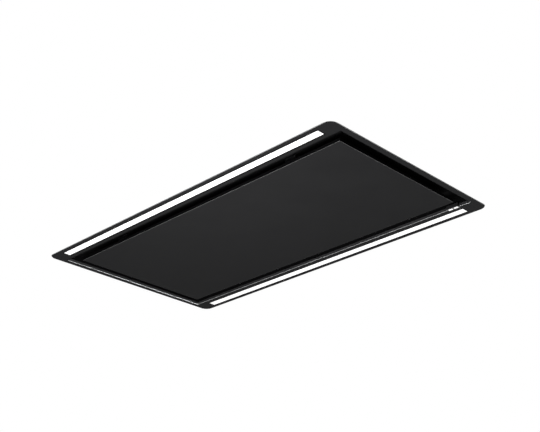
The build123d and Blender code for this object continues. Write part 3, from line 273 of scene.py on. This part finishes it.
opalFinish = {
    "shade": (0.84, 0.84, 0.83),
    "bright": (0.88, 0.88, 0.87),
    "coolLight": (0.97, 0.975, 0.98),
    "whiteLight": (1, 1, 1),
    "glow": 0.55,
    "roughness": (0.42, 0.5),
    "specular": 0.2,
    "border": (0.004, 0.004, 0.0045),
}


def makeOpal(name, windows):
    # lit opal windows, black around them
    f = Finish(name)
    x, y = (f.node("ShaderNodeSeparateXYZ", None, {0: f.place}, axis) for axis in "XY")
    lit = 0
    for middleX, middleY, halfLong, halfWide in windows:
        across = (x - middleX).math("ABSOLUTE") < halfLong
        along = (y - middleY).math("ABSOLUTE") < halfWide
        lit = across * along + lit
    cloud = f.span(f.noise(26, 2), 0.3, 0.7, 0, 1)
    shade = f.mix(cloud, opalFinish["shade"], opalFinish["bright"])
    glow = f.mix(cloud, opalFinish["coolLight"], opalFinish["whiteLight"])
    return f.surface(
        Base_Color=f.mix(lit, opalFinish["border"], shade),
        Roughness=f.span(cloud, 0, 1, *opalFinish["roughness"]),
        Emission_Color=f.mix(lit, (0, 0, 0), glow),
        Emission_Strength=opalFinish["glow"],
        Normal=f.bump(f.noise(900, 2), 0.00002),
        Specular_IOR_Level=opalFinish["specular"],
    )


galvanisedFinish = {
    "spangle": 0.013,
    "dark": (0.31, 0.325, 0.34),
    "light": (0.47, 0.485, 0.5),
    "roughness": (0.34, 0.52),
    "metallic": 0.85,
    "ragged": (0.006, 0.006, 0.006),
    "waviness": 0.0004,
}


def makeGalvanised():
    f = Finish("galvanisedSheet")
    c = galvanisedFinish
    warp = f.noise(60, 2)
    bent = f.node(
        "ShaderNodeVectorMath",
        {"operation": "MULTIPLY_ADD"},
        {
            0: f.node("ShaderNodeCombineXYZ", None, {0: warp, 1: warp, 2: warp}),
            1: c["ragged"],
            2: f.place,
        },
    )
    flake = f.node(
        "ShaderNodeTexVoronoi", None, {"Vector": bent, "Scale": 1 / c["spangle"]}, "Color"
    )
    tone = f.node("ShaderNodeSeparateColor", None, {0: flake})
    needles = f.noise(260, 2, (1, 5, 1))
    shade = f.span(tone * 0.7 + needles * 0.45, 0.15, 0.95, 0, 1)
    return f.surface(
        Base_Color=f.mix(shade, c["dark"], c["light"]),
        Metallic=c["metallic"],
        Roughness=f.span(shade, 0, 1, *c["roughness"]),
        Normal=f.bump(tone * 0.4 + f.noise(3.5, 2) * 3, c["waviness"], 0.5),
    )


aluminiumFinish = {
    "dark": (0.6, 0.61, 0.62),
    "light": (0.76, 0.77, 0.78),
    "roughness": (0.26, 0.42),
    "brush": (1, 34, 34),
}


def makeAluminium():
    f = Finish("satinAluminium")
    c = aluminiumFinish
    brushed = f.noise(40, 3, c["brush"])
    cloud = f.noise(14, 2)
    return f.surface(
        Base_Color=f.mix(brushed, c["dark"], c["light"]),
        Metallic=1.0,
        Roughness=f.span(brushed * 0.6 + cloud * 0.4, 0.3, 0.7, *c["roughness"]),
        Normal=f.bump(brushed, 0.00002),
    )


def makeMetal(name, dark, light, roughness, scale, stretch=None):
    f = Finish(name)
    pattern = f.noise(scale, 3, stretch)
    stain = f.noise(35, 2)
    shade = f.span(pattern * 0.6 + stain * 0.4, 0.3, 0.7, 0, 1)
    return f.surface(
        Base_Color=f.mix(shade, dark, light),
        Metallic=1.0,
        Roughness=f.span(shade, 0, 1, *roughness),
        Normal=f.bump(pattern, 0.00002),
    )


def makeStacked(name, dark, light, pitch, metallic):
    # thin layers across Z, as core sheets or windings show
    f = Finish(name)
    height = f.node("ShaderNodeSeparateXYZ", None, {0: f.place}, "Z")
    band = ((height / pitch).math("FRACT") - 0.5).math("ABSOLUTE")
    stain = f.noise(60, 3)
    return f.surface(
        Base_Color=f.mix(f.span(band * 1.4 + stain * 0.4, 0.15, 0.8, 0, 1), light, dark),
        Metallic=metallic,
        Roughness=f.span(stain, 0.3, 0.7, 0.35, 0.6),
        Normal=f.bump(0.5 - band, pitch * 0.5),
    )


def makePlastic(name, colour, roughness, grain=0.0006, depth=0.00003):
    f = Finish(name)
    cloud = f.noise(18, 2)
    fine = f.noise(1 / grain, 2)
    paler = tuple(min(1, v * 1.16 + 0.003) for v in colour)
    return f.surface(
        Base_Color=f.mix(f.span(cloud, 0.3, 0.7, 0, 1), colour, paler),
        Roughness=f.span(cloud * 0.5 + fine * 0.5, 0.3, 0.7, *roughness),
        Normal=f.bump(fine, depth),
        Specular_IOR_Level=0.4,
    )


boardFinish = {"mask": (0.012, 0.10, 0.035), "track": (0.03, 0.2, 0.07), "roughness": (0.3, 0.42)}


def makeBoard():
    f = Finish("solderMask")
    c = boardFinish
    tracks = f.cells(210, "DISTANCE_TO_EDGE", stretch=(1, 2.2, 1))
    line = f.span(tracks, 0.05, 0.09, 1, 0)
    fleck = f.noise(400, 2)
    return f.surface(
        Base_Color=f.mix(line, c["mask"], c["track"]),
        Roughness=f.span(fleck, 0.3, 0.7, *c["roughness"]),
        Normal=f.bump(line, 0.00003),
    )


foamFinish = {
    "pore": (0.018, 0.018, 0.019),
    "skin": (0.045, 0.045, 0.047),
    "roughness": (0.8, 0.95),
    "specular": 0.2,
}


def makeFoam():
    f = Finish("closedFoam")
    c = foamFinish
    pores = f.cells(900)
    return f.surface(
        Base_Color=f.mix(pores, c["pore"], c["skin"]),
        Roughness=f.span(pores, 0, 1, *c["roughness"]),
        Normal=f.bump(pores, 0.0003, 0.7),
        Specular_IOR_Level=c["specular"],
    )


# lit windows: (x, y, half length, half width)
ledWindows = [(0, side * 0.25865, 0.4496, 0.0092) for side in (-1, 1)]
keyWindows = [(x, 0.2325, 0.0058, 0.0029) for x in (0.427, 0.4425)]
finishes = {
    "black_enamel": makeBlackCoat("blackCoat", 0),
    "opal": makeOpal("opalGlow", ledWindows),
    "aluminium": makeAluminium(),
    "galvanised": makeGalvanised(),
    "zinc": makeMetal("brightZinc", (0.5, 0.51, 0.54), (0.68, 0.69, 0.7), (0.22, 0.36), 120),
    "steel": makeMetal(
        "groundSteel", (0.4, 0.41, 0.42), (0.56, 0.57, 0.58), (0.2, 0.34), 90, (1, 1, 22)
    ),
    "core": makeStacked("coreSheets", (0.1, 0.1, 0.105), (0.3, 0.3, 0.31), 0.0005, 0.8),
    "copper": makeStacked("copperWindings", (0.26, 0.08, 0.03), (0.72, 0.3, 0.14), 0.0008, 0.9),
    "magnet": makeMetal("nickelPlate", (0.5, 0.5, 0.51), (0.62, 0.61, 0.6), (0.15, 0.26), 70),
    "motor_paint": makePlastic("motorPaint", (0.05, 0.052, 0.056), (0.32, 0.46), 0.002, 0.00005),
    "black_plastic": makePlastic("blackPlastic", (0.014, 0.014, 0.015), (0.42, 0.58)),
    "grey_plastic": makePlastic("greyPlastic", (0.17, 0.17, 0.18), (0.4, 0.55)),
    "dark_plastic": makePlastic("darkPlastic", (0.035, 0.036, 0.045), (0.35, 0.5)),
    "white_plastic": makePlastic("whitePlastic", (0.74, 0.74, 0.72), (0.38, 0.5)),
    "board": makeBoard(),
    "rubber": makePlastic("softRubber", (0.016, 0.016, 0.016), (0.6, 0.75), 0.0012, 0.00005),
    "foam": makeFoam(),
}
ownFinishes = {"flange_frame": makeFrameCoat()}
# painted shade: the inner deck and rails are painted deep black all over
ownFinishes["intake_deck"] = ownFinishes["deck_rails"] = makeBlackCoat("innerCoat", 1)
ownFinishes["key_light"] = ownFinishes["key_fan"] = makeOpal("keyGlow", keyWindows)
for part in frame["record"]["subparts"]:
    mesh = nodes[part["node"]].data
    mesh.materials.clear()
    mesh.materials.append(ownFinishes.get(part["node"], finishes[part["material_slot"]]))
print("finishes:", len(finishes))


class GrowTree(NodeBoard):
    # a Geometry Nodes tree with named inputs, run once on an empty mesh
    def __init__(self, name, sizes):
        group = bpy.data.node_groups.new(name, "GeometryNodeTree")
        super().__init__(group)
        group.interface.new_socket("Geometry", in_out="OUTPUT", socket_type="NodeSocketGeometry")
        self.sizes = sizes
        self.sockets = {}
        for label, value in sizes.items():
            kind = "NodeSocketInt" if isinstance(value, int) else "NodeSocketFloat"
            kind = "NodeSocketVector" if isinstance(value, tuple) else kind
            self.sockets[label] = group.interface.new_socket(
                label, in_out="INPUT", socket_type=kind
            )
        self.entry = group.nodes.new("NodeGroupInput")
        self.exit = group.nodes.new("NodeGroupOutput")

    def size(self, label):
        return Wire(self, self.entry.outputs[label])

    def vector(self, x=0, y=0, z=0):
        return self.node("ShaderNodeCombineXYZ", None, {0: x, 1: y, 2: z})

    def close(self, geometry, material):
        real = self.node("GeometryNodeRealizeInstances", None, {0: geometry})
        dressed = self.node("GeometryNodeSetMaterial", None, {"Geometry": real})
        dressed.socket.node.inputs["Material"].default_value = material
        self.feed(self.exit.inputs[0], dressed)

    def run(self, name):
        seed = bpy.data.objects.new(name + "Seed", bpy.data.meshes.new(name + "Seed"))
        bpy.context.scene.collection.objects.link(seed)
        modifier = seed.modifiers.new("grow", "NODES")
        modifier.node_group = self.tree
        for label, value in self.sizes.items():
            modifier[self.sockets[label].identifier] = value
        evaluated = seed.evaluated_get(bpy.context.evaluated_depsgraph_get())
        mesh = bpy.data.meshes.new_from_object(evaluated)
        mesh.name = name
        bpy.data.objects.remove(seed)
        return mesh


def addPiece(name, mesh, body, replaced=()):
    piece = bpy.data.objects.new(name, mesh)
    bpy.context.scene.collection.objects.link(piece)
    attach(piece, body)
    if replaced:
        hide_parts(*replaced)
    return piece


def joined(name, meshes):
    # one plain mesh from several, each with its matrix
    whole = bmesh.new()
    materials = []
    for mesh, place in meshes:
        copy = mesh.copy()
        copy.transform(place)
        if mesh.materials and mesh.materials[0] not in materials:
            materials.append(mesh.materials[0])
        whole.from_mesh(copy)
        bpy.data.meshes.remove(copy)
    result = bpy.data.meshes.new(name)
    whole.to_mesh(result)
    whole.free()
    for material in materials:
        result.materials.append(material)
    return result


# Grease pads: layers of expanded metal. Each grid point carries two crossing strands.
netSizes = {
    "length": 0.306,
    "width": 0.2357,
    "pitchX": 0.0122,
    "pitchY": 0.0073,
    "strandWidth": 0.0011,
    "strandHeight": 0.0007,
    "twist": 0.0008,
    "blockHalf": 0.0155,
    "blockRear": -0.0975,
}
padLayers = {"levels": (0.0172, 0.0200, 0.0228), "inset": 0.165, "shift": -0.003}


def growNet(sizes):
    t = GrowTree("expandedMetal", sizes)
    columns = (t.size("length") / t.size("pitchX")).math("FLOOR")
    rows = (t.size("width") / t.size("pitchY")).math("FLOOR")
    grid = t.node("GeometryNodeMeshGrid", None, {
        "Size X": (columns - 1) * t.size("pitchX"),
        "Size Y": (rows - 1) * t.size("pitchY"),
        "Vertices X": columns,
        "Vertices Y": rows,
    })
    place = t.node("GeometryNodeInputPosition")
    across = t.node("ShaderNodeSeparateXYZ", None, {0: place}, "X")
    along = t.node("ShaderNodeSeparateXYZ", None, {0: place}, "Y")
    inBlock = (across.math("ABSOLUTE") < t.size("blockHalf")) * (along < t.size("blockRear"))
    kept = t.node("GeometryNodeDeleteGeometry", {"domain": "POINT"}, {0: grid, 1: inBlock})
    strands = []
    for side in (-1, 1):
        reach = t.size("pitchX") * 0.5 * side
        low = t.vector(reach * -1, t.size("pitchY") * -0.5, t.size("twist") * -0.5)
        high = t.vector(reach, t.size("pitchY") * 0.5, t.size("twist") * 0.5)
        strands.append(t.node("GeometryNodeCurvePrimitiveLine", None, {0: low, 1: high}))
    cross = t.node("GeometryNodeJoinGeometry", None, {0: strands})
    section = t.node("GeometryNodeCurvePrimitiveQuadrilateral", None, {
        "Width": t.size("strandWidth"),
        "Height": t.size("strandHeight"),
    })
    bars = t.node("GeometryNodeCurveToMesh", None, {
        "Curve": cross,
        "Profile Curve": section,
        "Fill Caps": True,
    })
    spread = t.node("GeometryNodeInstanceOnPoints", None, {"Points": kept, "Instance": bars})
    t.close(spread, finishes["aluminium"])
    return t.run("expandedMetal")


netMesh = growNet(netSizes)
frameLow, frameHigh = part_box("filter_frames")
padMiddles = [frameLow.x + padLayers["inset"], frameHigh.x - padLayers["inset"]]
halfPitch = netSizes["pitchX"] / 2
pads = joined("greasePads", [
    (netMesh, Matrix.Translation((x + (i % 2) * halfPitch + padLayers["shift"], 0, z)))
    for x in padMiddles
    for i, z in enumerate(padLayers["levels"])
])
addPiece("grease_pads", pads, "hood", ["filter_meshes"])
print("grease pads:", len(pads.polygons), "faces")

# Spot welds along the folded edges of the plenum box
weldSizes = {
    "length": 0.954,
    "width": 0.4625,
    "pitch": 0.038,
    "radius": 0.0024,
    "rise": 0.00022,
    "topShare": 0.62,
    "corners": 14,
}
weldTone = {"dark": (0.16, 0.165, 0.175), "light": (0.3, 0.31, 0.32), "roughness": (0.4, 0.55)}


def growWelds(sizes):
    t = GrowTree("spotWelds", sizes)
    path = t.node("GeometryNodeCurvePrimitiveQuadrilateral", None, {
        "Width": t.size("length"),
        "Height": t.size("width"),
    })
    points = t.node(
        "GeometryNodeResampleCurve", {"mode": "LENGTH"}, {"Curve": path, "Length": t.size("pitch")}
    )
    dome = t.node("GeometryNodeMeshCone", None, {
        "Vertices": t.size("corners"),
        "Radius Top": t.size("radius") * t.size("topShare"),
        "Radius Bottom": t.size("radius"),
        "Depth": t.size("rise"),
    })
    spread = t.node("GeometryNodeInstanceOnPoints", None, {"Points": points, "Instance": dome})
    mark = makeMetal("weldMark", *weldTone.values(), 260)
    t.close(spread, mark)
    return t.run("spotWelds")


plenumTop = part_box("plenum_box")[1].z
weldMesh = growWelds(weldSizes)
weldMesh.transform(Matrix.Translation((0, 0, plenumTop)))
addPiece("spot_welds", weldMesh, "hood")
print("spot welds:", len(weldMesh.polygons), "faces")


view = {
    "lens": 68.37,
    "sensor": 36,
    "place": (1.67092, -1.64734, -1.08317),
    "forward": (-0.632502, 0.641387, 0.434241),
}


def placeCamera():
    data = bpy.data.cameras.new("camera")
    data.lens = view["lens"]
    data.sensor_width = view["sensor"]
    camera = bpy.data.objects.new("camera", data)
    camera.location = view["place"]
    camera.rotation_euler = Vector(view["forward"]).to_track_quat("-Z", "Y").to_euler()
    bpy.context.scene.collection.objects.link(camera)
    bpy.context.scene.camera = camera


def seenRays(board):
    # 1 for what the camera, a reflection or a clear body sees, 0 for plain light
    rays = board.node("ShaderNodeLightPath").socket.node.outputs
    seen = Wire(board, rays["Is Camera Ray"]) + Wire(board, rays["Is Glossy Ray"])
    return (seen + Wire(board, rays["Is Transmission Ray"])).math("MINIMUM", 1)


ceiling = {
    "reach": 6.0,
    "level": 0.0006,
    "long": 1.0006,
    "wide": 0.5676,
    "corner": 0.0223,
    "cornerSteps": 8,
}


def addCeiling():
    # seen from below only, so that the casing above it shows from every other side
    half = Vector((ceiling["long"] / 2, ceiling["wide"] / 2))
    bend = ceiling["corner"]
    inner, outer = [], []
    for quarter, (signX, signY) in enumerate(((1, 1), (-1, 1), (-1, -1), (1, -1))):
        for step in range(ceiling["cornerSteps"] + 1):
            angle = math.pi / 2 * (quarter + step / ceiling["cornerSteps"])
            x = signX * (half.x - bend) + bend * math.cos(angle)
            y = signY * (half.y - bend) + bend * math.sin(angle)
            inner.append((x, y, ceiling["level"]))
            outer.append((signX * ceiling["reach"], signY * ceiling["reach"], ceiling["level"]))
    count = len(inner)
    faces = [(i, (i + 1) % count, (i + 1) % count + count, i + count) for i in range(count)]
    mesh = bpy.data.meshes.new("ceiling")
    mesh.from_pydata(inner + outer, [], faces)
    f = Finish("ceilingBoard")
    back = f.node("ShaderNodeNewGeometry", out="Backfacing")
    clear = f.node("ShaderNodeBsdfTransparent")
    white = f.node("ShaderNodeEmission", None, {"Color": (1, 1, 1), "Strength": 1})
    mixed = f.node("ShaderNodeMixShader", None, {0: back, 1: white, 2: clear})
    f.feed(f.output.inputs["Surface"], mixed)
    mesh.materials.append(f.material)
    board = bpy.data.objects.new("ceiling", mesh)
    bpy.context.scene.collection.objects.link(board)
    for ray in ("diffuse", "glossy", "shadow", "transmission"):
        setattr(board, "visible_" + ray, False)


floor = {
    "level": -2.4,
    "reach": 60.0,
    "tone": (0.38, 0.38, 0.375),
    "cloud": (0.7, 0.03),
    "near": 0.55,
    "clear": (1.5, 6.0),
}


def addFloor():
    # pale floor that keeps the object's shadow and passes into the white background
    mesh = bpy.data.meshes.new("floor")
    reach, level = floor["reach"], floor["level"]
    corners = [(-reach, -reach), (reach, -reach), (reach, reach), (-reach, reach)]
    mesh.from_pydata([(x, y, level) for x, y in corners], [], [(0, 1, 2, 3)])
    f = Finish("paleFloor")
    cloudScale, cloudStep = floor["cloud"]
    paler = tuple(v + cloudStep for v in floor["tone"])
    tone = f.mix(f.noise(cloudScale, 2), floor["tone"], paler)
    plain = f.node("ShaderNodeBsdfDiffuse", None, {"Color": tone})
    flat = f.node("ShaderNodeVectorMath", {"operation": "MULTIPLY"}, {0: f.place, 1: (1, 1, 0)})
    away = f.node("ShaderNodeVectorMath", {"operation": "LENGTH"}, {0: flat}, "Value")
    share = f.span(away, *floor["clear"], floor["near"], 1)
    white = f.node("ShaderNodeEmission", None, {"Color": (1, 1, 1), "Strength": 1})
    mixed = f.node("ShaderNodeMixShader", None, {0: share * seenRays(f), 1: plain, 2: white})
    f.feed(f.output.inputs["Surface"], mixed)
    mesh.materials.append(f.material)
    board = bpy.data.objects.new("floor", mesh)
    bpy.context.scene.collection.objects.link(board)


studio = {"fill": 0.8, "seen": 1}


def lightWorld():
    world = bpy.data.worlds.new("studio")
    world.use_nodes = True
    bpy.context.scene.world = world
    w = NodeBoard(world.node_tree)
    w.tree.nodes.clear()
    dim = w.node("ShaderNodeBackground", None, {"Color": (1, 1, 1), "Strength": studio["fill"]})
    bright = w.node("ShaderNodeBackground", None, {"Color": (1, 1, 1), "Strength": studio["seen"]})
    mixed = w.node("ShaderNodeMixShader", None, {0: seenRays(w), 1: dim, 2: bright})
    output = w.tree.nodes.new("ShaderNodeOutputWorld")
    w.feed(output.inputs["Surface"], mixed)


# "edge" is a card for the rolled edge's glint alone, so it lights nothing by diffusion
lamps = {
    "under": {"place": (0.22, -0.52, -0.7), "aim": (0.1, -0.3, 0), "side": 0.5, "watts": 9},
    "edge": {"place": (0.2, 1.05, -1.0), "aim": (-0.48, 0, 0), "side": 0.8, "watts": 24},
    "front": {"place": (1.4, -2.6, 1.1), "aim": (0, 0, 0.05), "side": 3.0, "watts": 26},
    "over": {"place": (-0.9, 0.9, 2.4), "aim": (0, 0, 0.1), "side": 3.0, "watts": 8},
    "rear": {"place": (-2.4, 1.8, 0.8), "aim": (0, 0, 0.05), "side": 2.6, "watts": 16},
}


def addLamps():
    for name, lamp in lamps.items():
        data = bpy.data.lights.new(name, "AREA")
        data.shape = "SQUARE"
        data.size = lamp["side"]
        data.energy = lamp["watts"]
        lampObject = bpy.data.objects.new(name, data)
        lampObject.location = lamp["place"]
        aim = Vector(lamp["aim"]) - Vector(lamp["place"])
        lampObject.rotation_euler = aim.to_track_quat("-Z", "Y").to_euler()
        lampObject.visible_camera = False
        lampObject.visible_diffuse = name != "edge"
        bpy.context.scene.collection.objects.link(lampObject)


placeCamera()
addCeiling()
addFloor()
lightWorld()
addLamps()
bpy.context.scene.view_settings.view_transform = "Standard"
print("stage ready")
